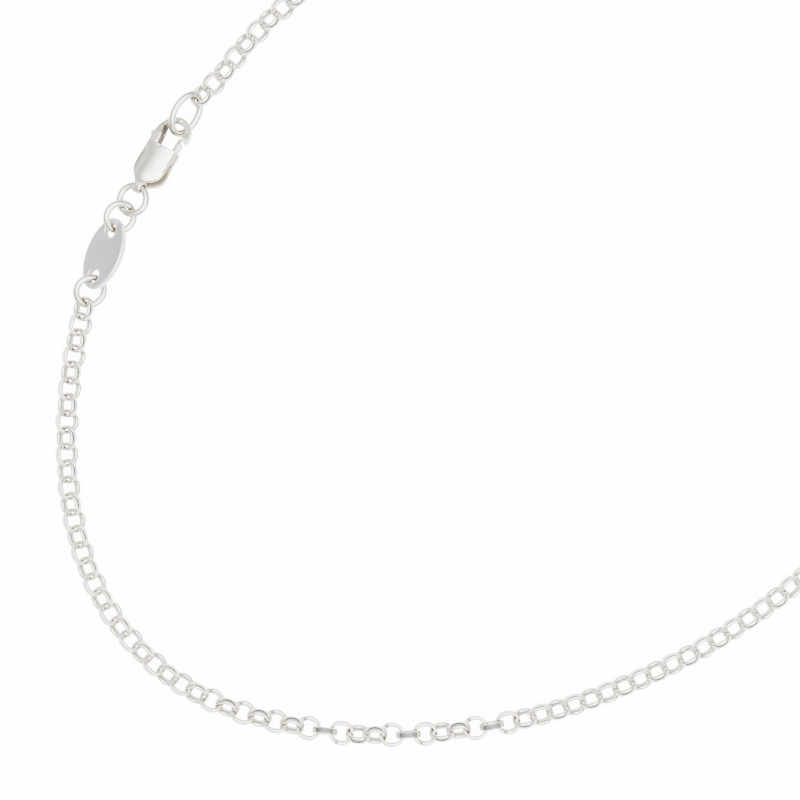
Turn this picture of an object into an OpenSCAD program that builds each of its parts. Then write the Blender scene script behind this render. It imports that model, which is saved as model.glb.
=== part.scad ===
// A rolo chain necklace with a lobster clasp and an oval tag, laid flat as a closed loop.
// +Z is up from the surface that it lies on, +Y runs along the loop's length, the clasp is on the -X side.
// The origin is on the surface, below the middle of the loop.

/* [Necklace] */
// Length of the closed necklace along its middle, fittings included
necklace_length = 450; // [400:5:465]

/* [Chain links] */
// Outer diameter of a link
link_outer = 2.65; // [2.5:0.05:2.8]
// Radial thickness of a link's flat wire
link_wire = 0.29; // [0.25:0.01:0.3]
// Width of a link's flat wire, across the link
link_width = 0.72; // [0.65:0.01:0.74]
// How far the inner face of a link bulges inwards
link_bulge = 0.08; // [0.04:0.01:0.12]
// Mean play between two neighbouring links when they are pulled apart
link_play = 0.24; // [0.23:0.01:0.3]

/* [Jump rings] */
// Outer diameter of the three round jump rings
ring_outer = 3.72; // [3.66:0.02:3.76]
// Wire diameter of the round jump rings
ring_wire = 0.64; // [0.56:0.01:0.65]

/* [Oval ring] */
// Length of the oval end ring, outside
oval_length = 5.25; // [5.05:0.05:5.5]
// Width of the oval end ring, outside
oval_width = 3.65; // [3.55:0.05:3.8]
// Radius of the middle of its wire round each end
oval_end_radius = 1.05; // [0.9:0.05:1.2]
// Wire diameter of the oval end ring
oval_wire = 0.67; // [0.6:0.01:0.68]

/* [Tag] */
// Length of the oval tag
tag_length = 8; // [7.6:0.1:8.4]
// Width of the oval tag
tag_width = 4.3; // [4.1:0.1:4.5]
// Thickness of the tag
tag_thick = 0.72; // [0.6:0.02:0.76]
// Diameter of the hole near each end of the tag
tag_hole = 1.45; // [1.4:0.05:1.5]
// From each end of the tag to the middle of its hole
tag_hole_inset = 1.45; // [1.4:0.05:1.5]
// Radius of the tag's blunt ends
tag_end_radius = 1.4; // [1.2:0.1:1.6]

/* [Clasp] */
// Height of the clasp from its neck to the top of its hook
clasp_length = 8.45; // [8.2:0.05:8.8]
// Width of the clasp's body
clasp_width = 3.6; // [3.4:0.1:3.8]
// Thickness of the clasp's body at its middle
clasp_thick = 2.2; // [2:0.1:2.4]
// Thickness of the clasp's body at its long edges
clasp_edge = 1.6; // [1.5:0.05:1.7]
// Thickness of the clasp at its neck
neck_thick = 1.4; // [1.3:0.05:1.5]
// Height of the plates' top edge, where the hook's opening starts
plate_top = 4.8; // [4.6:0.1:5]
// Outer radius of the hook
hook_radius = 1.7; // [1.6:0.05:1.8]
// Width of the hook
hook_width = 0.6; // [0.55:0.01:0.65]
// Thickness of the hook at its top and tip
hook_thick = 0.95; // [0.85:0.05:1]
// Width of the slot between the two plates
slot_width = 0.9; // [0.85:0.01:0.95]

/* [Lever] */
// Thickness of the lever in the slot
lever_thick = 0.76; // [0.7:0.01:0.78]
// Width of the lever's gate
gate_width = 0.68; // [0.6:0.02:0.72]
// Diameter of the lever's hidden pin
pin_diameter = 0.6; // [0.5:0.05:0.7]

/* [Tail eye] */
// Diameter of the hole in the tail eye
eye_hole = 0.92; // [0.9:0.01:0.94]
// Wall of the tail eye round its hole
eye_wall = 0.26; // [0.22:0.02:0.3]
// Thickness of the tail eye along its hole
eye_width = 0.85; // [0.8:0.05:0.9]

/* [Fit] */
// Gap kept between pieces that lie against each other
joint_gap = 0.08; // [0.05:0.01:0.1]

/* [Hidden] */

metal = [0.87, 0.87, 0.86];
satin = [0.78, 0.78, 0.8];
smooth = 96;
fine = 48;

// Where the clasp's neck lies, before the loop is centred on the origin
clasp_place = [-36.2, -1.15];

// How the fittings lie, in degrees: heading from +X towards the clasp's hook, dip of that end below the other,
// and lean, with the right-hand side raised where it is positive
clasp_turn = [111, 7.5, 17];
clasp_ring_turn = [107, -5, 20];
tag_ring_upper_turn = [102.5, 0, -31];
tag_turn = [119, 0, 37.5];
tag_ring_lower_turn = [116, -10, -29];
oval_turn = [112.3, -6.2, -39.8];

// Headings from one fitting to the next, in degrees
eye_to_ring = -66;
ring_to_ring = -77;
ring_to_tag = -68;
tag_to_ring = -60;
ring_to_link = -61;
hook_to_oval = 110;
oval_to_link = 99;

// The chosen points of the chain's route, before the loop is centred on the origin: down the left side from the
// tag, round the near end and up the right side, and then the last stretch down to the clasp
route_points = [
    [-25.8, -19.9], [-20.7, -24.8], [-14.9, -29], [-8.4, -32], [-1.5, -33.3], [5.8, -32.6], [12.5, -29.9],
    [18.5, -25.7], [23.9, -20.7], [28.4, -15.1], [32.3, -9], [35.6, -2.2], [38.1, 4.9], [40, 12.4], [41, 20]
];
route_last_points = [[-41.2, 21], [-40.7, 16.7], [-39.9, 12.8]];
route_steps = 10;

// The far end of the loop: half the gap between the two runs where they come level, how far along that is, how
// far beyond it the points lie that give each run its direction there, how far the runs splay there, and how far
// they have turned inwards where the round end starts, in degrees
far_half_gap = 41.2;
far_level = 25.2;
far_leads = [5, 4];
far_splay = 2;
far_turn = 12;
far_arc_steps = 40;

// Play of the links along the run that was chosen point by point: share of that run, share of the mean play
play_rows = [
    [0, 1.42], [0.1, 1.25], [0.25, 1.17], [0.4, 1.05], [0.52, 1.17], [0.7, 1.14], [0.76, 0.9], [0.8, 0.72],
    [0.93, 0.72], [1, 0.9], [1.2, 1]
];

// Lean of the links from lying flat, in degrees, with the loop's outer side raised where it is positive:
// from this link on, of the even links, of the odd links
lean_rows = [[0, -43, 36], [9, -41, 41], [27, -50, 31], [46, 53, -37], [70, 45, -45]];

// Links that turn over between two of those runs: link, lean
turned_links = [
    [32, -52], [33, 24], [34, 98], [35, -10], [36, 60], [37, -50], [38, 20], [39, 93], [40, -14], [41, 56],
    [42, -54], [43, 16], [44, 90], [45, -18]
];

// How much lower a link may lie than its neighbour, so that a raised link keeps those beside it up
link_sag = 0.06;
link_sag_steps = 8;

// Outline of the clasp's plates: share of the height of their top edge, then the left and right edges as shares
// of half the clasp's width
plate_rows = [
    [0, -0.42, 0.14], [0.08, -0.54, 0.26], [0.16, -0.74, 0.6], [0.25, -0.9, 0.84], [0.35, -0.985, 0.95],
    [0.51, -1.02, 0.99], [0.67, -1, 1], [0.85, -0.96, 1.01], [1, -0.92, 1.01]
];
plate_steps = 4;
clasp_overlap = 0.1;

// Profile of the clasp from the side: share of its length, then how much of its half thickness there is that of
// the body, of the neck and of the hook
profile_rows = [
    [-0.15, 0, 1, 0], [0.03, 0, 1, 0], [0.065, 0.15, 0.85, 0], [0.11, 0.5, 0.5, 0], [0.155, 0.85, 0.15, 0],
    [0.2, 1, 0, 0], [0.57, 1, 0, 0], [0.64, 0.9, 0, 0.1], [0.71, 0.58, 0, 0.42], [0.78, 0.25, 0, 0.75],
    [0.85, 0.05, 0, 0.95], [0.92, 0, 0, 1], [1.1, 0, 0, 1]
];

// Outline of the slot's lower end: shares of half the clasp's width and of the height of the plates' top edge
slot_rows = [[0.17, -0.1], [0.17, 0.094], [-0.28, 0.19], [-0.64, 0.33], [-0.67, 0.573], [-2, 0.573]];

// Outline of the lever's arm and nub from the gate's foot, leftwards over the nub and back below the pin:
// steps from the pin, as shares of the height of the gate's top above it
arm_rows = [
    [0.17, 0.48], [0.07, 0.29], [-0.13, 0.28], [-0.3, 0.48], [-0.355, 0.765], [-0.38, 0.89], [-0.54, 1],
    [-0.665, 0.98], [-0.71, 0.89], [-0.665, 0.81], [-0.56, 0.765], [-0.525, 0.567], [-0.36, 0.25], [-0.22, 0],
    [0, -0.1], [0.2, -0.06]
];
arm_steps = 4;
gate_foot = 0.31;
gate_waist = 0.65;

// How far the solder stands out at the oval ring's four joints, and the gap in the wire that it fills
solder_height = 0.012;
solder_gap = 0.04;

// Clearances of the pin in the plates and of the lever on the pin, across the diameter
pin_play = 0.04;
lever_play = 0.06;

// Small helpers
function mix(a, b, t) = a + (b - a) * t;
function ease(t) = (1 - cos(180 * max(0, min(1, t)))) / 2;
function arc(centre, r, from, to, steps) =
    [for (k = [0:steps]) let (a = mix(from, to, k / steps)) centre + r * [cos(a), sin(a)]];
function running(steps) = [
    for (k = 0, sum = 0; k <= len(steps); sum = sum + (k < len(steps) ? steps[k] : 0), k = k + 1) sum
];
function steps_of(points) = [for (i = [1:len(points) - 1]) norm(points[i] - points[i - 1])];
function total(list) = list * [for (v = list) 1];
function flat(v) = [v.x, v.y];

// A smooth curve through points, where the first and the last only give it its direction
function curve_at(a, b, c, d, t) =
    (2 * b + (c - a) * t + (2 * a - 5 * b + 4 * c - d) * t * t + (3 * b - a - 3 * c + d) * t * t * t) / 2;
function curve(points, steps) = [
    for (i = [1:len(points) - 3]) for (k = [0:steps - 1])
        curve_at(points[i - 1], points[i], points[i + 1], points[i + 2], k / steps),
    points[len(points) - 2]
];

// Turning a point the way that a fitting lies, and stepping away from a place
function turned(v, turn) = let (
        lean = -turn[2], dip = -turn[1], about = turn[0] - 90,
        a = [v.x * cos(lean) + v.z * sin(lean), v.y, v.z * cos(lean) - v.x * sin(lean)],
        b = [a.x, a.y * cos(dip) - a.z * sin(dip), a.y * sin(dip) + a.z * cos(dip)]
    ) [b.x * cos(about) - b.y * sin(about), b.x * sin(about) + b.y * cos(about), b.z];
function away(from, heading, distance, z) = [from.x + distance * cos(heading), from.y + distance * sin(heading), z];

// Sizes that follow from the driving ones
link_inner = link_outer - 2 * link_wire;
link_pitch = link_inner - link_play;
ring_inner = ring_outer - 2 * ring_wire;
ring_mid = (ring_outer - ring_wire) / 2;
oval_half_length = (oval_length - oval_wire) / 2;
oval_half_width = (oval_width - oval_wire) / 2;

// The clasp: hook, eye and lever, in the clasp's own frame with its neck at the origin and its hook towards +Y
hook_middle = [0.17 * hook_radius, clasp_length - hook_radius];
hook_inner = hook_radius - hook_width;
hook_tip_radius = hook_width / 2;
hook_tip = hook_middle + [hook_radius - hook_tip_radius, -hook_tip_radius];
eye_middle = [-0.25, -0.2, 0];
eye_radius = eye_hole / 2 + eye_wall;
pivot = [0.35, 2.6, 0];
slot_top = hook_middle.y - 0.45;
gate_stop = hook_tip.y - hook_tip_radius - 0.03;
gate_height = gate_stop - pivot.y;
gate_right = hook_middle.x + hook_radius - 0.24;
gate_catch = hook_middle.x + hook_inner - joint_gap;
boss_radius = pin_diameter / 2 + 0.45;
pin_length = slot_width + 0.56;
dome_drop = (clasp_thick - clasp_edge) / 2;
dome_radius = (pow(clasp_width / 2, 2) + pow(dome_drop, 2)) / (2 * dome_drop);

// Half the clasp's thickness along it and at a point, and its left edge from the plates round the hook
body_half = clasp_thick / 2 + 0.06;
function profile_half(row) = row[1] * body_half + row[2] * neck_thick / 2 + row[3] * hook_thick / 2;
function half_thick(x, y) = min(
    clasp_thick / 2 - dome_radius + sqrt(dome_radius * dome_radius - x * x),
    lookup(y / clasp_length, [for (row = profile_rows) [row[0], profile_half(row)]])
);
plate_left = plate_rows[len(plate_rows) - 1][1] * clasp_width / 2;
function left_edge(y) = y < hook_middle.y
    ? mix(plate_left, hook_middle.x - hook_radius, (y - plate_top) / (hook_middle.y - plate_top))
    : hook_middle.x - sqrt(max(0, hook_radius * hook_radius - pow(y - hook_middle.y, 2)));

// Heights at which the fittings rest: the clasp on the lowest point of its left edge
clasp_rest = max([
    for (y = [plate_top:0.1:clasp_length])
        let (x = left_edge(y)) -turned([x, y, -half_thick(x, y)], clasp_turn).z
]);
clasp_at = [clasp_place.x, clasp_place.y, clasp_rest];
tag_rest = tag_width / 2 * sin(tag_turn[2]) + tag_thick / 2 * cos(tag_turn[2]);
oval_rest = norm([oval_half_width * sin(oval_turn[2]) * cos(oval_turn[1]), oval_half_length * sin(oval_turn[1])])
    + oval_wire / 2;

// Places of the fittings, each from the one before it
eye_at = clasp_at + turned(eye_middle, clasp_turn);
clasp_ring_at = away(eye_at, eye_to_ring, ring_mid - 0.02, eye_at.z - 0.07);
tag_ring_upper_at = away(clasp_ring_at, ring_to_ring, ring_inner - 0.13, tag_rest + 0.15);
tag_hole_place = [0, tag_length / 2 - tag_hole_inset, 0];
tag_top_hole_at = away(tag_ring_upper_at, ring_to_tag, ring_mid + 0.21, tag_rest);
tag_at = tag_top_hole_at - turned(tag_hole_place, tag_turn);
tag_low_hole_at = tag_at - turned(tag_hole_place, tag_turn);
tag_ring_lower_at = away(tag_low_hole_at, tag_to_ring, ring_mid + 0.16, tag_rest - 0.21);
first_link_at = away(tag_ring_lower_at, ring_to_link, (ring_inner + link_inner) / 2 - 0.25, 0);
hook_inner_at = clasp_at + turned([hook_middle.x, hook_middle.y + hook_inner, 0], clasp_turn);
oval_at = away(hook_inner_at, hook_to_oval, oval_half_length - oval_wire / 2 - 0.7, oval_rest);
last_link_at = away(oval_at, oval_to_link, oval_half_length + (link_inner - oval_wire) / 2 - 0.42, 0);

// Number of links that make the closed length with the fittings, even so that the last one lies across the oval
// ring, and the distance from each link to the next
fittings_length = total(steps_of([
    first_link_at, flat(tag_ring_lower_at), flat(tag_at), flat(tag_ring_upper_at), flat(clasp_ring_at),
    flat(eye_at), flat(oval_at), flat(last_link_at)
]));
link_count = 2 * round(((necklace_length - fittings_length) / link_pitch + 1) / 2);
near_run = curve(concat(
    [flat(tag_ring_lower_at), flat(first_link_at)], route_points,
    [[far_half_gap, far_level], [far_half_gap, far_level] + far_leads[0] * [sin(far_splay), cos(far_splay)]]
), route_steps);
last_run = curve(concat(
    [[-far_half_gap, far_level] + far_leads[1] * [-sin(far_splay), cos(far_splay)], [-far_half_gap, far_level]],
    route_last_points, [flat(last_link_at), flat(oval_at)]
), route_steps);
near_length = total(steps_of(near_run));
pitches = [
    for (i = [0:link_count - 2]) link_inner - link_play * lookup(i * link_pitch / near_length, play_rows)
];

// The far stretch takes up the rest of the chain: each side an easy arc, then a round end
far_length = total(pitches) - near_length - total(steps_of(last_run));
end_lean = far_splay - far_turn;
end_share = (end_lean + 90) * PI / 180 / cos(end_lean);
side_radius = (far_length / 2 - end_share * far_half_gap)
    / (far_turn * PI / 180 + end_share * (cos(end_lean) - cos(far_splay)));
end_radius = (far_half_gap + side_radius * (cos(end_lean) - cos(far_splay))) / cos(end_lean);
side_middle = [far_half_gap - side_radius * cos(far_splay), far_level + side_radius * sin(far_splay)];
end_middle = [0, side_middle.y - side_radius * sin(end_lean) + end_radius * sin(end_lean)];
far_side = arc(side_middle, side_radius, -far_splay, -end_lean, far_arc_steps);
far_end = arc(end_middle, end_radius, -end_lean, 180 + end_lean, far_arc_steps);
far_side_back = [for (i = [far_arc_steps:-1:0]) [-far_side[i].x, far_side[i].y]];

route = concat(near_run, far_side, far_end, far_side_back, last_run);
route_at = running(steps_of(route));
route_x = [for (i = [0:len(route) - 1]) [route_at[i], route[i].x]];
route_y = [for (i = [0:len(route) - 1]) [route_at[i], route[i].y]];
route_total = route_at[len(route) - 1];
link_at = running(pitches) * route_total / total(pitches);

function on_route(s) = [lookup(s, route_x), lookup(s, route_y)];
function heading(i) = let (
        d = on_route(link_at[i] + link_pitch / 2) - on_route(link_at[i] - link_pitch / 2)
    ) atan2(d.y, d.x);
function lean(i) = let (
        turning = [for (row = turned_links) if (row[0] == i) row[1]],
        rows = [for (row = lean_rows) if (row[0] <= i) row]
    ) len(turning) > 0 ? turning[0] : rows[len(rows) - 1][i % 2 == 0 ? 1 : 2];

// Height of a link's middle: as high as it needs itself, and not much lower than the links near it
oval_end_height = oval_at.z - oval_half_length * sin(oval_turn[1]);
function own_height(i) = max(
    link_outer / 2 * abs(sin(lean(i))) + link_width / 2 * abs(cos(lean(i))),
    i == link_count - 1 ? oval_end_height - link_wire / 2 : 0
);
own_heights = [for (i = [0:link_count - 1]) own_height(i)];
function height(i) = max([
    for (j = [max(0, i - link_sag_steps):min(link_count - 1, i + link_sag_steps)])
        own_heights[j] - link_sag * abs(j - i)
]);
link_places = [for (i = [0:link_count - 1]) let (p = on_route(link_at[i])) [p.x, p.y, height(i)]];
link_turns = [for (i = [0:link_count - 1]) [heading(i), 0, lean(i)]];

// How far a link reaches from its middle along X and Y, which gives the middle of the whole loop
function link_reach(i, axis) = let (n = abs(turned([0, 0, 1], link_turns[i])[axis]))
    link_outer / 2 * sqrt(1 - n * n) + link_width / 2 * n;
function middle_of(axis) = (
    max([for (i = [0:link_count - 1]) link_places[i][axis] + link_reach(i, axis)])
    + min([for (i = [0:link_count - 1]) link_places[i][axis] - link_reach(i, axis)])
) / 2;
loop_middle = [middle_of(0), middle_of(1), 0];

module lie(place, turn) {
    translate(place - loop_middle)
        rotate([0, 0, turn[0] - 90])
            rotate([-turn[1], 0, 0])
                rotate([0, -turn[2], 0])
                    children();
}

// A chain link: flat wire turned into a ring, flat outside and slightly round inside
module link_section() {
    bulge_radius = (pow(link_width / 2, 2) + pow(link_bulge, 2)) / (2 * link_bulge);
    intersection() {
        translate([link_inner / 2, -link_width / 2]) square([link_wire, link_width]);
        translate([link_inner / 2 + bulge_radius, 0]) circle(bulge_radius, $fn = smooth);
    }
}

module link() {
    rotate_extrude($fn = fine) link_section();
}

module rolo_chain() {
    color(metal)
        for (i = [0:link_count - 1])
            lie(link_places[i], link_turns[i]) link();
}

// A round jump ring of round wire
module jump_ring() {
    color(metal) rotate_extrude($fn = smooth) translate([ring_mid, 0]) circle(ring_wire / 2, $fn = fine);
}

module clasp_ring() {
    lie(clasp_ring_at, clasp_ring_turn) jump_ring();
}

module tag_ring_upper() {
    lie(tag_ring_upper_at, tag_ring_upper_turn) jump_ring();
}

module tag_ring_lower() {
    lie(tag_ring_lower_at, tag_ring_lower_turn) jump_ring();
}

// The oval end ring: two long arcs of round wire soldered to two short ones
module wire_arc(middle, r, from, to) {
    cut = solder_gap / 2 / r * 180 / PI;
    translate([middle.x, middle.y, 0])
        rotate([0, 0, from + cut])
            rotate_extrude(angle = to - from - 2 * cut, $fn = smooth)
                translate([r, 0]) circle(oval_wire / 2, $fn = fine);
}

module oval_ring() {
    end_y = oval_half_length - oval_end_radius;
    side_r = (end_y * end_y + oval_half_width * oval_half_width - oval_end_radius * oval_end_radius)
        / (2 * (oval_half_width - oval_end_radius));
    side_x = side_r - oval_half_width;
    side_angle = atan2(end_y, side_x);
    color(metal)
        lie(oval_at, oval_turn)
            for (turn = [0, 180])
                rotate([0, 0, turn]) {
                    wire_arc([-side_x, 0], side_r, -side_angle, side_angle);
                    wire_arc([0, end_y], oval_end_radius, side_angle, 180 - side_angle);
                    for (side = [side_angle, 180 - side_angle])
                        translate([0, end_y, 0] + oval_end_radius * [cos(side), sin(side), 0])
                            rotate([90, 0, side])
                                cylinder(r = oval_wire / 2 + solder_height, h = 4 * solder_gap, center = true,
                                    $fn = fine);
                }
}

// The tag: an oval plate of two long arcs and two short ones, with a hole near each end
function oval_outline(half_length, half_width, end_r, steps) = let (
        end_y = half_length - end_r,
        side_r = (end_y * end_y + half_width * half_width - end_r * end_r) / (2 * (half_width - end_r)),
        side_x = side_r - half_width,
        side_angle = atan2(end_y, side_x),
        right = arc([-side_x, 0], side_r, -side_angle, side_angle, steps),
        top = arc([0, end_y], end_r, side_angle, 180 - side_angle, steps),
        half = concat(right, [for (k = [1:steps - 1]) top[k]])
    ) concat(half, -half);

module oval_tag() {
    color(satin)
        lie(tag_at, tag_turn)
            difference() {
                linear_extrude(tag_thick, center = true)
                    polygon(oval_outline(tag_length / 2, tag_width / 2, tag_end_radius, 24));
                for (side = [-1, 1])
                    translate(side * tag_hole_place)
                        cylinder(d = tag_hole, h = tag_thick + 1, center = true, $fn = smooth);
            }
}

// The clasp's outline seen from above: plates, spine, hook and its tip
function plate_side(column) = curve([
    for (row = concat([2 * plate_rows[0] - plate_rows[1]], plate_rows, [[1.15, -0.88, 1]]))
        [row[column] * clasp_width / 2, row[0] * plate_top]
], plate_steps);

module clasp_outline() {
    left = plate_side(1);
    right = plate_side(2);
    polygon(concat(right, [for (k = [len(left) - 1:-1:0]) left[k]]));
    polygon([
        [left[len(left) - 1].x, plate_top - clasp_overlap],
        [hook_middle.x - hook_inner, plate_top - clasp_overlap],
        hook_middle - [hook_inner, -clasp_overlap],
        hook_middle - [hook_radius, -clasp_overlap],
        hook_middle - [hook_radius, 0],
        left[len(left) - 1]
    ]);
    difference() {
        translate(hook_middle) circle(hook_radius, $fn = smooth);
        translate(hook_middle) circle(hook_inner, $fn = smooth);
        translate(hook_middle - [clasp_width, clasp_width]) square([2 * clasp_width, clasp_width]);
    }
    translate([hook_tip.x - hook_tip_radius, hook_tip.y])
        square([hook_width, hook_tip_radius + clasp_overlap]);
    translate(hook_tip) circle(hook_tip_radius, $fn = fine);
}

// The clasp's section across, domed on both faces
module clasp_dome() {
    intersection_for (side = [-1, 1])
        translate([0, side * (dome_radius - clasp_thick / 2)]) circle(dome_radius, $fn = smooth);
}

// The clasp's profile from the side: thin neck, full body, and a hook that thins towards its top
module clasp_profile() {
    front = [for (row = profile_rows) [row[0] * clasp_length, profile_half(row)]];
    polygon(concat(front, [for (k = [len(front) - 1:-1:0]) [front[k].x, -front[k].y]]));
}

module clasp_slot() {
    linear_extrude(slot_width, center = true)
        polygon(concat(
            [for (row = slot_rows) [row[0] * clasp_width / 2, row[1] * plate_top]],
            [
                [-clasp_width, slot_top], [0, slot_top], [0, gate_stop], [clasp_width, gate_stop],
                [clasp_width, slot_rows[0][1] * plate_top]
            ]
        ));
}

module clasp_body() {
    color(metal)
        lie(clasp_at, clasp_turn)
            difference() {
                union() {
                    intersection() {
                        linear_extrude(2 * clasp_thick, center = true) clasp_outline();
                        translate([0, 2 * clasp_length, 0])
                            rotate([90, 0, 0]) linear_extrude(3 * clasp_length) clasp_dome();
                        rotate([90, 0, 90]) linear_extrude(3 * clasp_width, center = true) clasp_profile();
                    }
                    translate(eye_middle)
                        rotate([0, 90, 0]) cylinder(r = eye_radius, h = eye_width, center = true, $fn = smooth);
                }
                clasp_slot();
                translate(eye_middle)
                    rotate([0, 90, 0]) cylinder(d = eye_hole, h = clasp_width, center = true, $fn = smooth);
                translate(pivot)
                    cylinder(d = pin_diameter + pin_play, h = pin_length + pin_play, center = true, $fn = fine);
            }
}

// The lever: a boss on the pin, the gate that closes the hook and the nub that opens it
module lever_outline() {
    rows = concat([2 * arm_rows[0] - arm_rows[1]], arm_rows, [2 * arm_rows[len(arm_rows) - 1] - arm_rows[0]]);
    arm = curve([for (row = rows) flat(pivot) + row * gate_height], arm_steps);
    polygon(concat(
        [
            [gate_right, pivot.y + gate_foot * gate_height],
            [gate_right, gate_stop - 0.2],
            [gate_catch, gate_stop - 0.12],
            [gate_catch, gate_stop + 0.22],
            [gate_catch - 0.18, gate_stop + 0.27],
            [gate_right - gate_width, gate_stop + 0.1],
            [gate_right - gate_width, pivot.y + gate_waist * gate_height]
        ],
        arm
    ));
    translate(pivot) circle(boss_radius, $fn = smooth);
}

module clasp_lever() {
    color(metal)
        lie(clasp_at, clasp_turn)
            difference() {
                linear_extrude(lever_thick, center = true) lever_outline();
                translate(pivot)
                    cylinder(d = pin_diameter + lever_play, h = lever_thick + 1, center = true, $fn = fine);
            }
}

module clasp_pin() {
    color(metal)
        lie(clasp_at, clasp_turn)
            translate(pivot) cylinder(d = pin_diameter, h = pin_length, center = true, $fn = fine);
}

rolo_chain();
oval_ring();
clasp_body();
clasp_lever();
clasp_pin();
clasp_ring();
tag_ring_upper();
oval_tag();
tag_ring_lower();
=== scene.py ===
# Rolo chain necklace with a lobster clasp and an oval tag, lying on a pale floor.
from math import atan2, radians

import bmesh
import bpy
import numpy as np
from mathutils import Matrix, Vector


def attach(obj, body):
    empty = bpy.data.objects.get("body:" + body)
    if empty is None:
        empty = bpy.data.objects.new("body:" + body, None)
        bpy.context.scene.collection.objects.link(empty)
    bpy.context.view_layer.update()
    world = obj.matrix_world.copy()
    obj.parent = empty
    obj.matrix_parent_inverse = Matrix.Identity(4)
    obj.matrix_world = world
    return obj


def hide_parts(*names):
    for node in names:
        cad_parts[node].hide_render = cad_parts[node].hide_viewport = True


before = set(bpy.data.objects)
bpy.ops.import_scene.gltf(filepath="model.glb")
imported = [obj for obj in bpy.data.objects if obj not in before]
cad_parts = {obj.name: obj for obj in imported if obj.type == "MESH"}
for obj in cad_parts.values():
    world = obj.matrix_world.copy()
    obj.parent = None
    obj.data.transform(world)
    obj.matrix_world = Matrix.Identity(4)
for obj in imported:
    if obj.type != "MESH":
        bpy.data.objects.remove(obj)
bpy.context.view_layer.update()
mm = 0.001

# Places in the part's own frame, in millimetres, and how each fitting lies: heading from +X, dip of the end that
# faces the hook, and lean, with the right-hand side raised where it is positive
places = {
    "clasp": ((-36.2236, -59.7517, 2.0524), (111, 7.5, 17)),
    "claspRing": ((-35.7541, -61.42, 1.936), (107, -5, 20)),
    "tagRingUpper": ((-35.2344, -63.6708, 1.7444), (102.5, 0, -31)),
    "tag": ((-33.3426, -67.5236, 1.5944), (119, 0, 37.5)),
    "tagRingLower": ((-31.2564, -71.2262, 1.3844), (116, -10, -29)),
    "ovalRing": ((-39.1879, -51.1971, 1.3149), (112.3, -6.2, -39.8)),
}


def placeOf(name):
    # turn about Z by the heading, about X by the dip and about Y by the lean, then move
    at, (heading, dip, lean) = places[name]
    turn = Matrix.Rotation(radians(heading - 90), 4, "Z") @ Matrix.Rotation(radians(-dip), 4, "X")
    turn = turn @ Matrix.Rotation(radians(-lean), 4, "Y")
    return Matrix.Translation(Vector(at) * mm) @ turn


def moved(points, matrix):
    # each point turned and moved by the matrix
    m = np.array([list(row) for row in matrix])
    return (points.reshape(-1, 3) @ m[:3, :3].T + m[:3, 3]).reshape(points.shape)


def rise(value, start, over):
    # 0 up to the start, then evenly up to 1 over the given length
    return np.clip((value - start) / over, 0, 1)


# Meshes

copyLook = {"weld": 1e-7, "flat": 0.4}  # points closer than this in metres are one, and faces within these degrees


def closedMesh(name, points):
    # points holds one or more grids, each with a row for each step of u and a column for each step of v; each cell
    # of a grid is a face, and in both directions the last row or column joins the first
    count, nu, nv = points.shape[:3]
    k, u, v = np.meshgrid(np.arange(count), np.arange(nu), np.arange(nv), indexing="ij")
    nextU, nextV = (u + 1) % nu, (v + 1) % nv
    corners = [(k * nu + row) * nv + column for row, column in ((u, v), (nextU, v), (nextU, nextV), (u, nextV))]
    mesh = bpy.data.meshes.new(name)
    mesh.from_pydata(points.reshape(-1, 3).tolist(), [], np.stack(corners, -1).reshape(-1, 4).tolist())
    mesh.shade_smooth()
    return mesh


def newPiece(name, mesh, node, material, body="necklace"):
    piece = bpy.data.objects.new(name, mesh)
    bpy.context.scene.collection.objects.link(piece)
    mesh.materials.append(material)
    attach(piece, body)
    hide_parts(node)
    return piece


def nodeCopy(node):
    # a copy of a CAD node's mesh, its doubles merged and its flat faces joined
    mesh = bpy.data.objects[node].data.copy()
    work = bmesh.new()
    work.from_mesh(mesh)
    bmesh.ops.remove_doubles(work, verts=work.verts, dist=copyLook["weld"])
    bmesh.ops.dissolve_limit(work, angle_limit=radians(copyLook["flat"]), verts=work.verts, edges=work.edges)
    work.to_mesh(mesh)
    work.free()
    mesh.materials.clear()
    return mesh


def readArray(items, attribute, width, kind=float):
    # one attribute of all points, edges, corners or faces as an array, a row for each
    values = np.empty(len(items) * width, dtype=kind)
    items.foreach_get(attribute, values)
    return values.reshape(-1, width) if width > 1 else values


# Materials

finishLook = {"cloudDetail": 3, "grainDetail": 4, "samples": 6, "full": 0.2}


def links(tree, *pairs):
    for a, b in pairs:
        tree.links.new(a, b)


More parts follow.
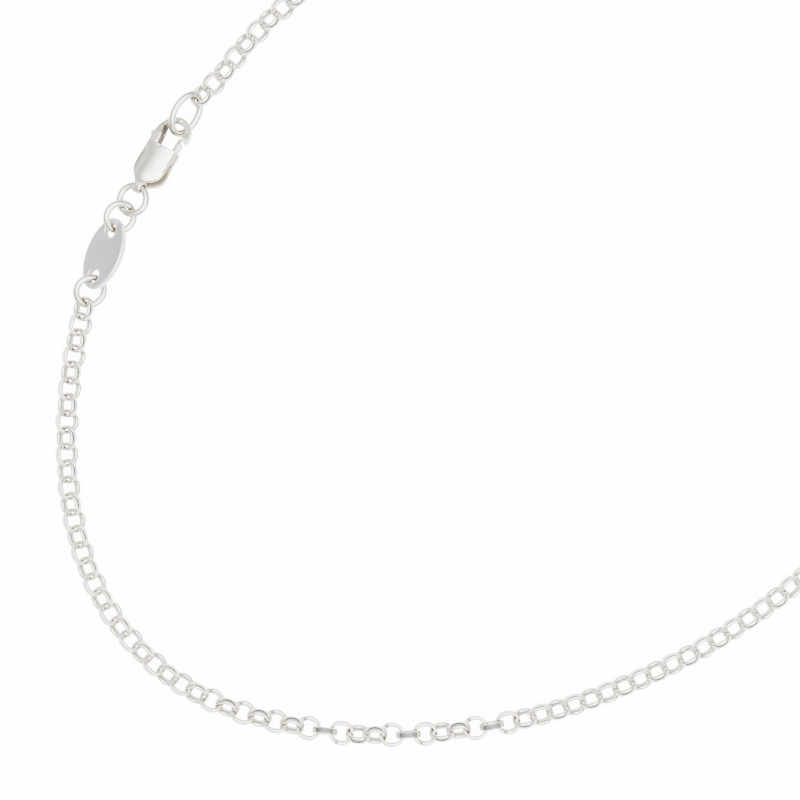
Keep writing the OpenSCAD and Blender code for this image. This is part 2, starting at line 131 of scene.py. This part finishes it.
def silverFinishAndShade(name, look):
    # metal whose tone and polish vary in soft clouds, with a fine grain in the bump, and a warmer and darker painted
    # shade where other metal is closer than the reach: full where it covers most of the view, gone where the view is
    # clear
    material = bpy.data.materials.new(name)
    material.use_nodes = True
    tree = material.node_tree
    shader = tree.nodes["Principled BSDF"]
    shader.inputs["Metallic"].default_value = 1
    place = tree.nodes.new("ShaderNodeTexCoord")
    cloud = tree.nodes.new("ShaderNodeTexNoise")
    cloud.inputs["Scale"].default_value = look["cloudScale"]
    cloud.inputs["Detail"].default_value = finishLook["cloudDetail"]
    grain = tree.nodes.new("ShaderNodeTexNoise")
    grain.inputs["Scale"].default_value = look["grainScale"]
    grain.inputs["Detail"].default_value = finishLook["grainDetail"]
    # in a Mix node of colours, input 0 is the share, 6 and 7 are the two colours, and output 2 is the result
    tone = tree.nodes.new("ShaderNodeMix")
    tone.data_type = "RGBA"
    tone.inputs[6].default_value = (*look["dark"], 1)
    tone.inputs[7].default_value = (*look["light"], 1)
    # painted shade: the base colour turns to the shade colour where ambient occlusion finds other metal near
    near = tree.nodes.new("ShaderNodeAmbientOcclusion")
    near.samples = finishLook["samples"]
    near.inputs["Distance"].default_value = look["reach"]
    unshaded = tree.nodes.new("ShaderNodeMapRange")
    unshaded.inputs["From Min"].default_value = finishLook["full"]
    unshaded.inputs["From Max"].default_value = look["clear"]
    paintedShade = tree.nodes.new("ShaderNodeMix")
    paintedShade.data_type = "RGBA"
    paintedShade.inputs[6].default_value = (*look["paintedShadeColour"], 1)
    polish = tree.nodes.new("ShaderNodeMapRange")
    polish.inputs["To Min"].default_value = look["roughLow"]
    polish.inputs["To Max"].default_value = look["roughHigh"]
    bump = tree.nodes.new("ShaderNodeBump")
    bump.inputs["Strength"].default_value = look["bump"]
    bump.inputs["Distance"].default_value = look["bumpDepth"]
    links(
        tree,
        (place.outputs["Object"], cloud.inputs["Vector"]),
        (place.outputs["Object"], grain.inputs["Vector"]),
        (cloud.outputs["Fac"], tone.inputs[0]),
        (near.outputs["AO"], unshaded.inputs["Value"]),
        (unshaded.outputs["Result"], paintedShade.inputs[0]),
        (tone.outputs[2], paintedShade.inputs[7]),
        (paintedShade.outputs[2], shader.inputs["Base Color"]),
        (cloud.outputs["Fac"], polish.inputs["Value"]),
        (polish.outputs["Result"], shader.inputs["Roughness"]),
        (grain.outputs["Fac"], bump.inputs["Height"]),
        (bump.outputs["Normal"], shader.inputs["Normal"]),
    )
    return material


# front of the clasp, pin and rim of the tag
polished = silverFinishAndShade("polishedSilver", {
    "light": (0.97, 0.955, 0.85), "dark": (0.91, 0.885, 0.76), "cloudScale": 900, "grainScale": 9000,
    "roughLow": 0.06, "roughHigh": 0.13, "bump": 0.12, "bumpDepth": 0.00002,
    "reach": 0.0005, "clear": 0.7, "paintedShadeColour": (0.42, 0.35, 0.24),
})
# links
wireSilver = silverFinishAndShade("wireSilver", {
    "light": (0.98, 0.965, 0.86), "dark": (0.76, 0.745, 0.645), "cloudScale": 900, "grainScale": 7000,
    "roughLow": 0.02, "roughHigh": 0.08, "bump": 0.05, "bumpDepth": 0.00003,
    "reach": 0.0006, "clear": 0.8, "paintedShadeColour": (0.34, 0.28, 0.19),
})
# jump rings and oval ring, in a darker copy of the silver as painted shade
ringSilver = silverFinishAndShade("ringSilver", {
    "light": (0.92, 0.91, 0.81), "dark": (0.5, 0.495, 0.43), "cloudScale": 650, "grainScale": 7000,
    "roughLow": 0.03, "roughHigh": 0.1, "bump": 0.05, "bumpDepth": 0.00003,
    "reach": 0.0007, "clear": 0.8, "paintedShadeColour": (0.34, 0.28, 0.19),
})
# outer bands of the links that stand on edge, where they face up: rougher, and painted dark as shade
shadedBandSilver = silverFinishAndShade("shadedBandSilver", {
    "light": (0.24, 0.24, 0.235), "dark": (0.1, 0.1, 0.1), "cloudScale": 3000, "grainScale": 9000,
    "roughLow": 0.5, "roughHigh": 0.62, "bump": 0.2, "bumpDepth": 0.00003,
    "reach": 0.0005, "clear": 0.7, "paintedShadeColour": (0.14, 0.13, 0.1),
})
# faces of the tag
satin = silverFinishAndShade("satinSilver", {
    "light": (0.83, 0.825, 0.83), "dark": (0.75, 0.745, 0.755), "cloudScale": 500, "grainScale": 12000,
    "roughLow": 0.3, "roughHigh": 0.4, "bump": 0.25, "bumpDepth": 0.00002,
    "reach": 0.0005, "clear": 0.6, "paintedShadeColour": (0.6, 0.52, 0.4),
})
# walls of the clasp's slot, and the lever's sides in it: a rougher cast skin, darker and tan as painted shade
inside = silverFinishAndShade("castSkinAndShade", {
    "light": (0.74, 0.68, 0.56), "dark": (0.46, 0.41, 0.31), "cloudScale": 1500, "grainScale": 15000,
    "roughLow": 0.3, "roughHigh": 0.5, "bump": 0.3, "bumpDepth": 0.00002,
    "reach": 0.0005, "clear": 0.6, "paintedShadeColour": (0.3, 0.25, 0.17),
})
# the spine's wall in the opening, painted dark as shade
shaded = silverFinishAndShade("shadedWallSilver", {
    "light": (0.26, 0.22, 0.16), "dark": (0.12, 0.1, 0.07), "cloudScale": 1500, "grainScale": 15000,
    "roughLow": 0.3, "roughHigh": 0.5, "bump": 0.3, "bumpDepth": 0.00002,
    "reach": 0.0005, "clear": 0.6, "paintedShadeColour": (0.3, 0.25, 0.17),
})

# Chain

chainLook = {
    # the wire: lengths in millimetres, and the middle of its rounded edge as a share of the edge
    "outer": 2.69, "inner": 2.02, "width": 0.72, "edge": 0.13, "edgeMiddle": 0.3, "bulge": 0.07, "innerEdge": 0.1,
    "innerRise": 0.01, "crown": 0.025, "steps": 18,
    # the seam: its angle in degrees, the share of its half width that its floor takes, and the share of the wire
    # that it is deep; the burr, the flat and the fuller sides are in millimetres, the widths in radians
    "seamAt": 115, "seamWidth": 0.05, "seamFloor": 0.4, "seamDepth": 0.1, "burr": 0.06, "burrAcross": 0.35,
    "flatAt": 270, "flat": 0.07, "flatAcross": 0.3, "full": 0.07,
    # a link is on edge where its axis rises less than this, and its band is rougher and painted dark as shade where it
    # faces up more than this
    "edgeOn": 0.2, "upward": 0.72,
    "crispness": 80,
}


def linkPlaces():
    # the links' middles and axes, read from the chain's solids: each loose piece of the mesh is one link, its
    # middle is the middle of its box and its axis the direction in which its points spread least
    mesh = nodeCopy("rolo_chain")
    points = readArray(mesh.vertices, "co", 3)
    a, b = readArray(mesh.edges, "vertices", 2, int).T
    bpy.data.meshes.remove(mesh)
    # each point takes the lowest number among its neighbours until all points of a piece have the same one
    group = np.arange(len(points))
    while True:
        low = np.minimum(group[a], group[b])
        after = group.copy()
        np.minimum.at(after, a, low)
        np.minimum.at(after, b, low)
        after = after[after]
        if (after == group).all():
            break
        group = after
    middles, axes = [], []
    for g in np.unique(group):
        own = points[group == g]
        middles.append((own.min(0) + own.max(0)) / 2)
        spread = np.linalg.svd(own - own.mean(0), full_matrices=False)[2]
        axes.append(spread[2] * (1 if spread[2][2] >= 0 else -1))
    return np.array(middles), np.array(axes)


def inOrder(middles, start):
    # from the link nearest to the start, always on to the nearest one not yet taken
    left = list(range(len(middles)))
    here, order = np.array(start), []
    while left:
        near = min(left, key=lambda i: ((middles[i] - here) ** 2).sum())
        order.append(near)
        left.remove(near)
        here = middles[near]
    return order


def linkShape():
    # a link in its own frame: the angle of each step round it, and at each step the wire's profile as distances
    # from the link's axis and along it, with a flat outer band, rounded edges, straight sides and a crowned inner face
    look = chainLook
    outer, inner, half, edge = look["outer"] / 2, look["inner"] / 2, look["width"] / 2, look["edge"]
    cut = look["edgeMiddle"] * edge
    upper = np.array([
        (outer, half - edge), (outer - cut, half - cut), (outer - edge, half), (inner + look["bulge"], half),
        (inner + look["innerRise"], half - look["innerEdge"]),
    ])
    profile = np.concatenate([upper, [(inner - look["crown"], 0)], upper[::-1] * (1, -1)])
    crown = len(upper)
    # around a link: even steps between the two edges of its seam, and two close steps sunk between them
    seam = look["seamWidth"] / look["outer"]
    floor = look["seamFloor"] * seam
    turn = np.concatenate([np.linspace(seam, 2 * np.pi - seam, look["steps"]), [-floor, floor]])
    sunk = np.where(np.abs(turn) < seam, 1 - look["seamDepth"], 1)
    heart = np.array([(outer + inner) / 2, 0])
    shape = heart + (profile - heart)[None] * sunk[:, None, None]
    # a small burr inside at the seam, a slight flat on the high side, and more metal at the sides than at the ends
    fromSeam = np.angle(np.exp(1j * turn))
    fromFlat = np.angle(np.exp(1j * (turn - radians(look["flatAt"] - look["seamAt"]))))
    shape[:, crown, 0] -= look["burr"] * np.exp(-(fromSeam / look["burrAcross"]) ** 2)
    shape[..., 0] -= look["flat"] * np.exp(-(fromFlat / look["flatAcross"]) ** 2)[:, None]
    shape[:, crown - 2:crown + 3, 0] -= look["full"] * np.sin(turn + radians(look["seamAt"]))[:, None] ** 2
    return turn, shape * mm


def makeChain():
    # each link is the shape carried round its own axis: middle + distance * direction of the step + height * axis
    look = chainLook
    middles, axes = linkPlaces()
    order = inOrder(middles, Vector(places["tagRingLower"][0]) * mm)
    middles, axes = middles[order], axes[order]
    along = np.gradient(middles, axis=0)
    along -= (along * axes).sum(1, keepdims=True) * axes
    along /= np.linalg.norm(along, axis=1, keepdims=True)
    across = np.cross(along, axes)
    turn, shape = linkShape()
    # the seam lies on the link's low side, a little towards the link before it
    low = np.where(across[:, 2] < 0, 1, -1) * radians(look["seamAt"])
    turn = low[:, None] + turn[None] * np.sign(low)[:, None]
    step = np.cos(turn)[..., None] * along[:, None] + np.sin(turn)[..., None] * across[:, None]
    distance, height = shape[None, :, :, :1], shape[None, :, :, 1:]
    points = middles[:, None, None] + step[:, :, None] * distance + axes[:, None, None] * height
    mesh = closedMesh("chainLinks", points)
    work = bmesh.new()
    work.from_mesh(mesh)
    bmesh.ops.recalc_face_normals(work, faces=work.faces)
    work.to_mesh(mesh)
    work.free()
    # the outer bands of the few links that stand on edge are rougher and painted dark as shade where they face up; a
    # band is the last face of each step
    count, steps, corners = points.shape[:3]
    onEdge = np.repeat(np.abs(axes[:, 2]) < look["edgeOn"], steps * corners)
    band = np.tile(np.arange(corners) == corners - 1, count * steps)
    shadedBand = onEdge & (readArray(mesh.polygons, "normal", 3)[:, 2] > look["upward"]) & band
    mesh.polygons.foreach_set("material_index", shadedBand.astype(np.int32))
    chain = newPiece("chainLinks", mesh, "rolo_chain", wireSilver)
    mesh.materials.append(shadedBandSilver)
    # the wide faces keep their own direction, and the narrow ones between them turn from one to the next
    crisp = chain.modifiers.new("crisp", "WEIGHTED_NORMAL")
    crisp.mode, crisp.weight = "FACE_AREA", look["crispness"]
    print("chain:", count, "links")


makeChain()

# Jump rings and oval ring

ringLook = {"outer": 3.8, "wire": 0.71, "around": 72, "across": 20}
ovalLook = {"length": 5.28, "width": 3.68, "wire": 0.71, "endRadius": 1.05, "steps": 24, "across": 20}


def makeWire(name, node, path, look):
    # a round wire along a closed path in the XY plane: at each step a circle in the plane of the path's own side
    # direction and the Z axis
    up = np.array((0, 0, 1))
    ahead = np.roll(path, -1, 0) - np.roll(path, 1, 0)
    ahead /= np.linalg.norm(ahead, axis=1, keepdims=True)
    side = np.cross(ahead, up)
    t = np.arange(look["across"]) / look["across"] * 2 * np.pi
    points = path[:, None] + look["wire"] / 2 * (
        np.cos(t)[None, :, None] * side[:, None] + np.sin(t)[None, :, None] * up[None, None]
    )
    newPiece(name, closedMesh(name, moved(points * mm, placeOf(name))[None]), node, ringSilver)


def makeJumpRing(name, node):
    # a circle through the middle of the wire
    t = np.arange(ringLook["around"]) / ringLook["around"] * 2 * np.pi
    r = (ringLook["outer"] - ringLook["wire"]) / 2
    makeWire(name, node, np.stack([r * np.cos(t), r * np.sin(t), 0 * t], 1), ringLook)


def makeOvalRing():
    # half of the outline is a long arc on the right and a short one on top, which meet without a corner; the other
    # half is the same, turned by half a turn
    a = (ovalLook["length"] - ovalLook["wire"]) / 2
    b = (ovalLook["width"] - ovalLook["wire"]) / 2
    endR = ovalLook["endRadius"]
    endY = a - endR
    sideR = (endY ** 2 + b ** 2 - endR ** 2) / (2 * (b - endR))
    sideX = sideR - b
    angle = atan2(endY, sideX)
    s = np.linspace(0, 1, ovalLook["steps"], endpoint=False)
    u, w = -angle + 2 * angle * s, angle + (np.pi - 2 * angle) * s
    right = np.stack([sideR * np.cos(u) - sideX, sideR * np.sin(u), 0 * u], 1)
    top = np.stack([endR * np.cos(w), endY + endR * np.sin(w), 0 * w], 1)
    half = np.concatenate([right, top])
    makeWire("ovalRing", "oval_ring", np.concatenate([half, -half]), ovalLook)


makeJumpRing("claspRing", "clasp_ring")
makeJumpRing("tagRingUpper", "tag_ring_upper")
makeJumpRing("tagRingLower", "tag_ring_lower")
makeOvalRing()
print("rings")

# Clasp and tag, each in its own frame in millimetres: X across, Y along towards the hook, Z up. A pair of values
# that goes to rise() says where something starts and over what length it grows.

# size of the cubes that fill a solid, and the rounds of easing before and after the rounding
castLook = {"voxel": 0.05, "ease": 5, "finish": 5}
# where rounding finds its walls and faces: a wall's normals rise less than "upright" and a face's more, a wall ends
# less than "above" over its face, and a face lies "near" its height; the edge that faces the hook stays crisp
roundLook = {
    "upright": 0.72, "above": 0.1, "near": 0.3, "batch": 2000,
    "crispAt": 4.75, "crispWithin": 0.3, "crispFacing": 0.85, "crispShare": 0.2,
}
# front and back of the clasp: an arc across it, and half its thickness at heights along it, from eye to hook
domeLook = {
    "width": 3.6, "thick": 2.2, "drop": 0.3, "blend": 0.07, "bowl": 1.9, "farthest": 9,
    "along": (-1.3, 0.1, 0.5, 0.9, 4.82, 5.41, 6.0, 6.5, 6.9, 7.2, 7.45, 7.77, 9.3),
    "half": (0.7, 0.7, 1.0, 1.2, 1.16, 1.13, 1.06, 0.93, 0.78, 0.64, 0.55, 0.475, 0.475),
    "hookHalf": (0.7, 0.7, 1.0, 1.2, 1.16, 1.13, 0.98, 0.76, 0.6, 0.52, 0.5, 0.475, 0.475),
    "hookFrom": (-0.8, 0.8), "level": (3.5, 2.4), "levelling": 0.85,
    "edgeAlong": (0.3, 1.0, 4.8, 6.2), "edge": (0.08, 0.16, 0.2, 0.29),
    # rows along the clasp for the eased half thickness: first and last, their number, and how many are averaged
    "rows": (-1.2, 9.2, 1041), "averaged": 41, "trimmed": 30,
}
# what the casting adds to the clasp's plain outline, and where its finishes and painted shade lie
claspLook = {
    "spine": 0.42, "spineFrom": (4.6, 0.3), "spineTo": (7, 1.3), "spineLeft": (-1.25, 0.35), "spineRight": -0.2,
    "spineUp": (0.25, 0.15),
    "hookMiddle": (0.289, 6.75), "left": 0.2, "right": 0.08, "hookOut": (1.35, 0.35), "hookFrom": (4.8, 1.2),
    "leftFade": 2.5, "leftLeast": 0.4,
    "back": 0.3, "backTowards": (0.6, -0.8), "backMiddle": 2.6, "backFrom": (0.4, 1.2), "backAlong": (-0.1, 0.5),
    "backDown": (0, 0.45),
    # the stretched wall of the spine and the end of the hook, as lowest and highest X and Y, are eased further
    "spineBox": ((-1.3, 0.1), (4.9, 7.3)), "hookBox": ((0.9, 9), (5.2, 7.4)), "ease": 14,
    # slot walls lie flat, and the spine's wall in the opening faces right
    "slotFlat": 0.5, "wallFacing": 0.5, "wallRight": -0.2, "wallAlong": (4.6, 7),
}
leverLook = {"half": 0.38, "edge": 0.14, "sideUpright": 0.6, "sideTo": 4.8}
tagLook = {
    "half": 0.36, "width": 4.3, "camber": 0.02, "edge": 0.15, "low": 0.2, "high": 0.5, "plain": 0.7, "lift": 0.2,
    "rimUpright": 0.6,
}


def eased(points, ends, rounds):
    # each point drawn half way to the mean of its neighbours, as many times as there are rounds
    a, b = ends.T
    n = len(points)
    count = np.bincount(ends.ravel(), minlength=n)[:, None]
    for _ in range(rounds):
        total = np.stack([np.bincount(a, points[b, i], n) + np.bincount(b, points[a, i], n) for i in range(3)], 1)
        points = (points + total / count) / 2
    return points


def inBox(points, box):
    (left, right), (near, far) = box
    x, y = points[:, 0], points[:, 1]
    return (x > left) & (x < right) & (y > near) & (y < far)


def normalsOf(mesh, points):
    mesh.vertices.foreach_set("co", (points * mm).ravel())
    mesh.update()
    return readArray(mesh.vertices, "normal", 3)


def roundedOver(points, normals, half, edge):
    # the faces at the given half thickness are set on it exactly and rounded over at their outline by a quarter
    # circle: a wall's upper end takes its lower 45 degrees and the face beside it its upper 45 degrees
    look, batch = roundLook, roundLook["batch"]
    points = points.copy()
    for side in (-1, 1):
        z = points[:, 2] * side
        wall = (np.abs(normals[:, 2]) < look["upright"]) & (z > half - edge) & (z < half + look["above"])
        face = (normals[:, 2] * side >= look["upright"]) & (np.abs(z - half) < look["near"])
        outward = normals[wall, :2] / np.linalg.norm(normals[wall, :2], axis=1, keepdims=True)
        foot, at = points[wall, :2], np.flatnonzero(face)
        # the wall point nearest to each face point, and how far away it is
        near = np.empty(len(at), dtype=int)
        away = np.empty(len(at))
        for k in range(0, len(at), batch):
            gap = ((points[at[k:k + batch], None, :2] - foot[None]) ** 2).sum(-1)
            near[k:k + batch] = gap.argmin(1)
            away[k:k + batch] = np.sqrt(gap.min(1))
        crisp = (outward[:, 1] > look["crispFacing"]) & (np.abs(foot[:, 1] - look["crispAt"]) < look["crispWithin"])
        soft = np.where(crisp, look["crispShare"], 1)
        r = edge[wall] * soft
        angle = np.clip((z[wall] - half[wall] + r) / r, 0, 1) * np.pi / 4
        r2 = edge[at] * soft[near]
        share = np.clip(1 - away / r2, 0, 1) * np.pi / 4
        inward = np.where(away < r2, r2 * (1 - np.sin(share)) - away, 0)
        points[at, :2] -= outward[near] * inward[:, None]
        points[at, 2] = side * (half[at] - r2 + r2 * np.cos(share))
        points[wall, :2] -= outward * (r * (1 - np.cos(angle)))[:, None]
        points[wall, 2] = side * (half[wall] - r + r * np.sin(angle))
    return points


def claspHalf(points):
    # the lower of the arc across, which turns into a bowl below its middle and levels out on the spine, and the
    # profile along, blended where they meet
    look = domeLook
    r = ((look["width"] / 2) ** 2 + look["drop"] ** 2) / (2 * look["drop"])
    x = points[:, 0] * (1 - look["levelling"] * rise(points[:, 1], *look["level"]) * (points[:, 0] < 0))
    out = x ** 2 + np.clip(look["bowl"] - points[:, 1], 0, None) ** 2
    across = look["thick"] / 2 - r + np.sqrt(r * r - np.minimum(out, look["farthest"]))
    # the profile's corners are averaged away, and its ends left out, where the average runs past the rows
    y = np.linspace(*look["rows"])
    mean, kept = np.ones(look["averaged"]) / look["averaged"], slice(look["trimmed"], -look["trimmed"])
    spine, hook = [
        np.interp(points[:, 1], y[kept], np.convolve(np.interp(y, look["along"], look[part]), mean, "same")[kept])
        for part in ("half", "hookHalf")
    ]
    along = spine + (hook - spine) * rise(points[:, 0], *look["hookFrom"])
    k = look["blend"]
    half = -k * np.log(np.exp(-across / k) + np.exp(-along / k))
    return half, np.interp(points[:, 1], look["edgeAlong"], look["edge"])


def castClasp(points, ends):
    # what the casting adds to the plain outline: the front of the spine reaches over the opening, the hook and
    # the spine's outer side are fuller, and the back plate stands out round the lower right of the front one
    x, y, z = points.T
    look = claspLook
    end, fade = look["spineTo"]
    over = look["spine"] * rise(y, *look["spineFrom"]) * rise(end - y, 0, fade) * rise(x, *look["spineLeft"])
    over = over * (x < look["spineRight"]) * rise(z, *look["spineUp"])
    dx, dy = x - look["hookMiddle"][0], np.clip(y - look["hookMiddle"][1], 0, None)
    out = np.maximum(np.hypot(dx, dy), 0.01)  # never 0, since it divides
    full = rise(out, *look["hookOut"]) * rise(y, *look["hookFrom"])
    left = look["left"] * np.clip(1 - dy / look["leftFade"], look["leftLeast"], 1)
    full = full * np.where(dx < 0, left, look["right"])
    toX, toY = look["backTowards"]
    back = rise(x * toX + (y - look["backMiddle"]) * toY, *look["backFrom"]) * rise(y, *look["backAlong"])
    back = look["back"] * back * rise(-z, *look["backDown"])
    points = np.stack([x + over + full * dx / out + back * toX, y + full * dy / out + back * toY, z], 1)
    soft = inBox(points, look["spineBox"]) | inBox(points, look["hookBox"])
    return np.where(soft[:, None], eased(points, ends, look["ease"]), points)


def claspFinishAndShade(points, normals):
    # the slot's walls, which face the middle, keep their cast skin with painted shade, and the spine's wall in the
    # opening is painted dark as shade
    look = claspLook
    x, y, z = points.T
    # cast skin and painted shade: the slot's walls take the darker tan material
    slot = (normals[:, 2] * z < 0) & (np.abs(normals[:, 2]) > look["slotFlat"])
    # painted shade: the spine's wall that faces right in the opening takes the darkest material
    wall = (normals[:, 0] > look["wallFacing"]) & (x < look["wallRight"])
    wall = wall & (y > look["wallAlong"][0]) & (y < look["wallAlong"][1])
    return np.where(wall, 2, np.where(slot, 1, 0))


def keepShape(points, ends):
    return points


def leverHalf(points):
    return np.full(len(points), leverLook["half"]), np.full(len(points), leverLook["edge"])


def leverFinishAndShade(points, normals):
    # the lever's sides in the slot keep their cast skin, darker and tan as painted shade
    return np.where((np.abs(normals[:, 2]) < leverLook["sideUpright"]) & (points[:, 1] < leverLook["sideTo"]), 1, 0)


def castTag(points, ends):
    # the plate's two long sides swell outwards beside its holes, the raised one more than the low one
    look, x = tagLook, points[:, 0]
    share = rise(np.abs(x), look["plain"], look["width"] / 2 - look["plain"])
    swell = share ** 2 * (3 - 2 * share) * np.where(x > 0, look["high"], -look["low"])
    return points + np.stack([swell, 0 * x, 0 * x], 1)


def tagHalf(points):
    # a little thinner towards its long edges, so that its faces are slightly domed
    share = points[:, 0] / tagLook["width"] * 2
    return tagLook["half"] - tagLook["camber"] * share ** 2, np.full(len(points), tagLook["edge"])


def tagFinish(points, normals):
    # the rim is polished
    return np.where(np.abs(normals[:, 2]) < tagLook["rimUpright"], 1, 0)


def castPiece(name, node, at, materials, shapeOf, halfOf, finishOf, body="necklace", lift=0):
    # the node's solid, filled with small cubes along its own axes, its faces domed and its edges rounded as on a
    # tumbled casting
    mesh = nodeCopy(node)
    place = placeOf(at)
    mesh.transform(place.inverted())
    work = bpy.data.objects.new("work", mesh)
    bpy.context.scene.collection.objects.link(work)
    fill = work.modifiers.new("fill", "REMESH")
    fill.mode = "VOXEL"
    fill.voxel_size = castLook["voxel"] * mm
    made = bpy.data.meshes.new_from_object(work.evaluated_get(bpy.context.evaluated_depsgraph_get()))
    bpy.data.objects.remove(work)
    made.name = name
    points = readArray(made.vertices, "co", 3) / mm
    ends = readArray(made.edges, "vertices", 2, int)
    points = shapeOf(eased(points, ends, castLook["ease"]), ends)
    half, edge = halfOf(points)
    points = roundedOver(points, normalsOf(made, points), half, edge)
    points = eased(points, ends, castLook["finish"])
    # a face takes the finish of its first corner
    finish = finishOf(points, normalsOf(made, points))
    corners = readArray(made.loops, "vertex_index", 1, int)
    starts = readArray(made.polygons, "loop_start", 1, int)
    made.transform(Matrix.Translation((0, 0, lift * mm)) @ place)
    made.materials.clear()
    newPiece(name, made, node, materials[0], body)
    for material in materials[1:]:
        made.materials.append(material)
    made.polygons.foreach_set("material_index", finish[corners[starts]].astype(np.int32))
    made.shade_smooth()
    print(name, len(made.polygons), "faces")


castPiece(
    "ovalTag", "oval_tag", "tag", (satin, polished), castTag, tagHalf, tagFinish,
    lift=tagLook["lift"],
)
castPiece("claspBody", "clasp_body", "clasp", (polished, inside, shaded), castClasp, claspHalf, claspFinishAndShade)
castPiece("claspLever", "clasp_lever", "clasp", (polished, inside), keepShape, leverHalf, leverFinishAndShade, body="lever")
pin = bpy.data.objects["clasp_pin"].data
pin.materials.clear()
pin.materials.append(polished)
print("clasp and tag")

# Floor, light and camera

floorLook = {
    "size": 3, "level": -0.00006, "colour": (0.3, 0.3, 0.295), "rough": 0.9, "glow": 11.5,
    # brightness for all but the camera: in the open, under the object, and how far and how fully it is covered there
    "shine": 2.8, "least": 0.1, "shadow": 0.0025, "covered": 0.3, "samples": 4,
}
lightLook = {"size": 0.6, "power": 6.5, "place": (0.6, 0.05, 0.6), "aim": (0, -0.05, 0), "sky": 9.6}
# brightness of the sky by height: the sine of the angle above the horizon, and the share of the full brightness
skyStops = [
    (0.0, 0.004), (0.15, 0.01), (0.26, 0.05), (0.35, 0.13), (0.48, 0.17), (0.6, 0.11), (0.67, 0.15), (0.74, 0.32),
    (0.82, 0.6), (0.9, 0.82), (1.0, 0.95),
]
cameraLook = {
    "middle": (-1.038, -53.326), "height": 300, "across": 85.6, "level": 1.2, "turn": 50, "sensor": 36,
    "nearest": 0.01, "farthest": 20,
}


def makeFloor():
    s, low = floorLook["size"] / 2, floorLook["level"]
    mesh = bpy.data.meshes.new("floor")
    mesh.from_pydata([(-s, -s, low), (s, -s, low), (s, s, low), (-s, s, low)], [], [(0, 1, 2, 3)])
    floor = bpy.data.objects.new("floor", mesh)
    bpy.context.scene.collection.objects.link(floor)
    material = bpy.data.materials.new("floorWhite")
    material.use_nodes = True
    tree = material.node_tree
    shader = tree.nodes["Principled BSDF"]
    shader.inputs["Base Color"].default_value = (*floorLook["colour"], 1)
    shader.inputs["Roughness"].default_value = floorLook["rough"]
    shader.inputs["Emission Color"].default_value = (1, 1, 1, 1)
    # the floor shines on the object as a lit table does, less where the object stands over it, and more for the
    # camera, which sees it as pure white
    path = tree.nodes.new("ShaderNodeLightPath")
    near = tree.nodes.new("ShaderNodeAmbientOcclusion")
    near.samples = floorLook["samples"]
    near.inputs["Distance"].default_value = floorLook["shadow"]
    shade = tree.nodes.new("ShaderNodeMapRange")
    shade.inputs["From Min"].default_value = floorLook["covered"]
    shade.inputs["To Min"].default_value = floorLook["least"]
    shade.inputs["To Max"].default_value = floorLook["shine"]
    glow = tree.nodes.new("ShaderNodeMath")
    glow.operation = "MULTIPLY_ADD"
    glow.inputs[1].default_value = floorLook["glow"]
    links(
        tree,
        (path.outputs["Is Camera Ray"], glow.inputs[0]),
        (near.outputs["AO"], shade.inputs["Value"]),
        (shade.outputs["Result"], glow.inputs[2]),
        (glow.outputs[0], shader.inputs["Emission Strength"]),
    )
    mesh.materials.append(material)


def makeSky():
    # the height of a direction is its Z, since directions are 1 long
    world = bpy.data.worlds.new("studio")
    world.use_nodes = True
    bpy.context.scene.world = world
    tree = world.node_tree
    back = tree.nodes["Background"]
    place = tree.nodes.new("ShaderNodeTexCoord")
    split = tree.nodes.new("ShaderNodeSeparateXYZ")
    ramp = tree.nodes.new("ShaderNodeValToRGB")
    stops = ramp.color_ramp.elements
    stops[0].position, stops[1].position = skyStops[0][0], skyStops[-1][0]
    stops[0].color, stops[1].color = [(value, value, value, 1) for _, value in (skyStops[0], skyStops[-1])]
    for position, value in skyStops[1:-1]:
        stops.new(position).color = (value, value, value, 1)
    links(
        tree,
        (place.outputs["Generated"], split.inputs["Vector"]),
        (split.outputs["Z"], ramp.inputs["Fac"]),
        (ramp.outputs["Color"], back.inputs["Color"]),
    )
    back.inputs["Strength"].default_value = lightLook["sky"]


def makeLights():
    light = bpy.data.lights.new("softbox", "AREA")
    light.size = lightLook["size"]
    light.energy = lightLook["power"]
    lamp = bpy.data.objects.new("softbox", light)
    bpy.context.scene.collection.objects.link(lamp)
    lamp.location = lightLook["place"]
    lamp.rotation_euler = (Vector(lightLook["aim"]) - lamp.location).to_track_quat("-Z", "Y").to_euler()


def makeCamera():
    # straight above, with the given width across the picture at the links' own level
    look = cameraLook
    data = bpy.data.cameras.new("camera")
    data.sensor_width = look["sensor"]
    data.lens = look["sensor"] * (look["height"] - look["level"]) / look["across"]
    data.clip_start, data.clip_end = look["nearest"], look["farthest"]
    camera = bpy.data.objects.new("camera", data)
    bpy.context.scene.collection.objects.link(camera)
    camera.location = Vector((*look["middle"], look["height"])) * mm
    camera.rotation_euler = (0, 0, radians(look["turn"]))
    bpy.context.scene.camera = camera


makeFloor()
makeSky()
makeLights()
makeCamera()
print("floor, light and camera")
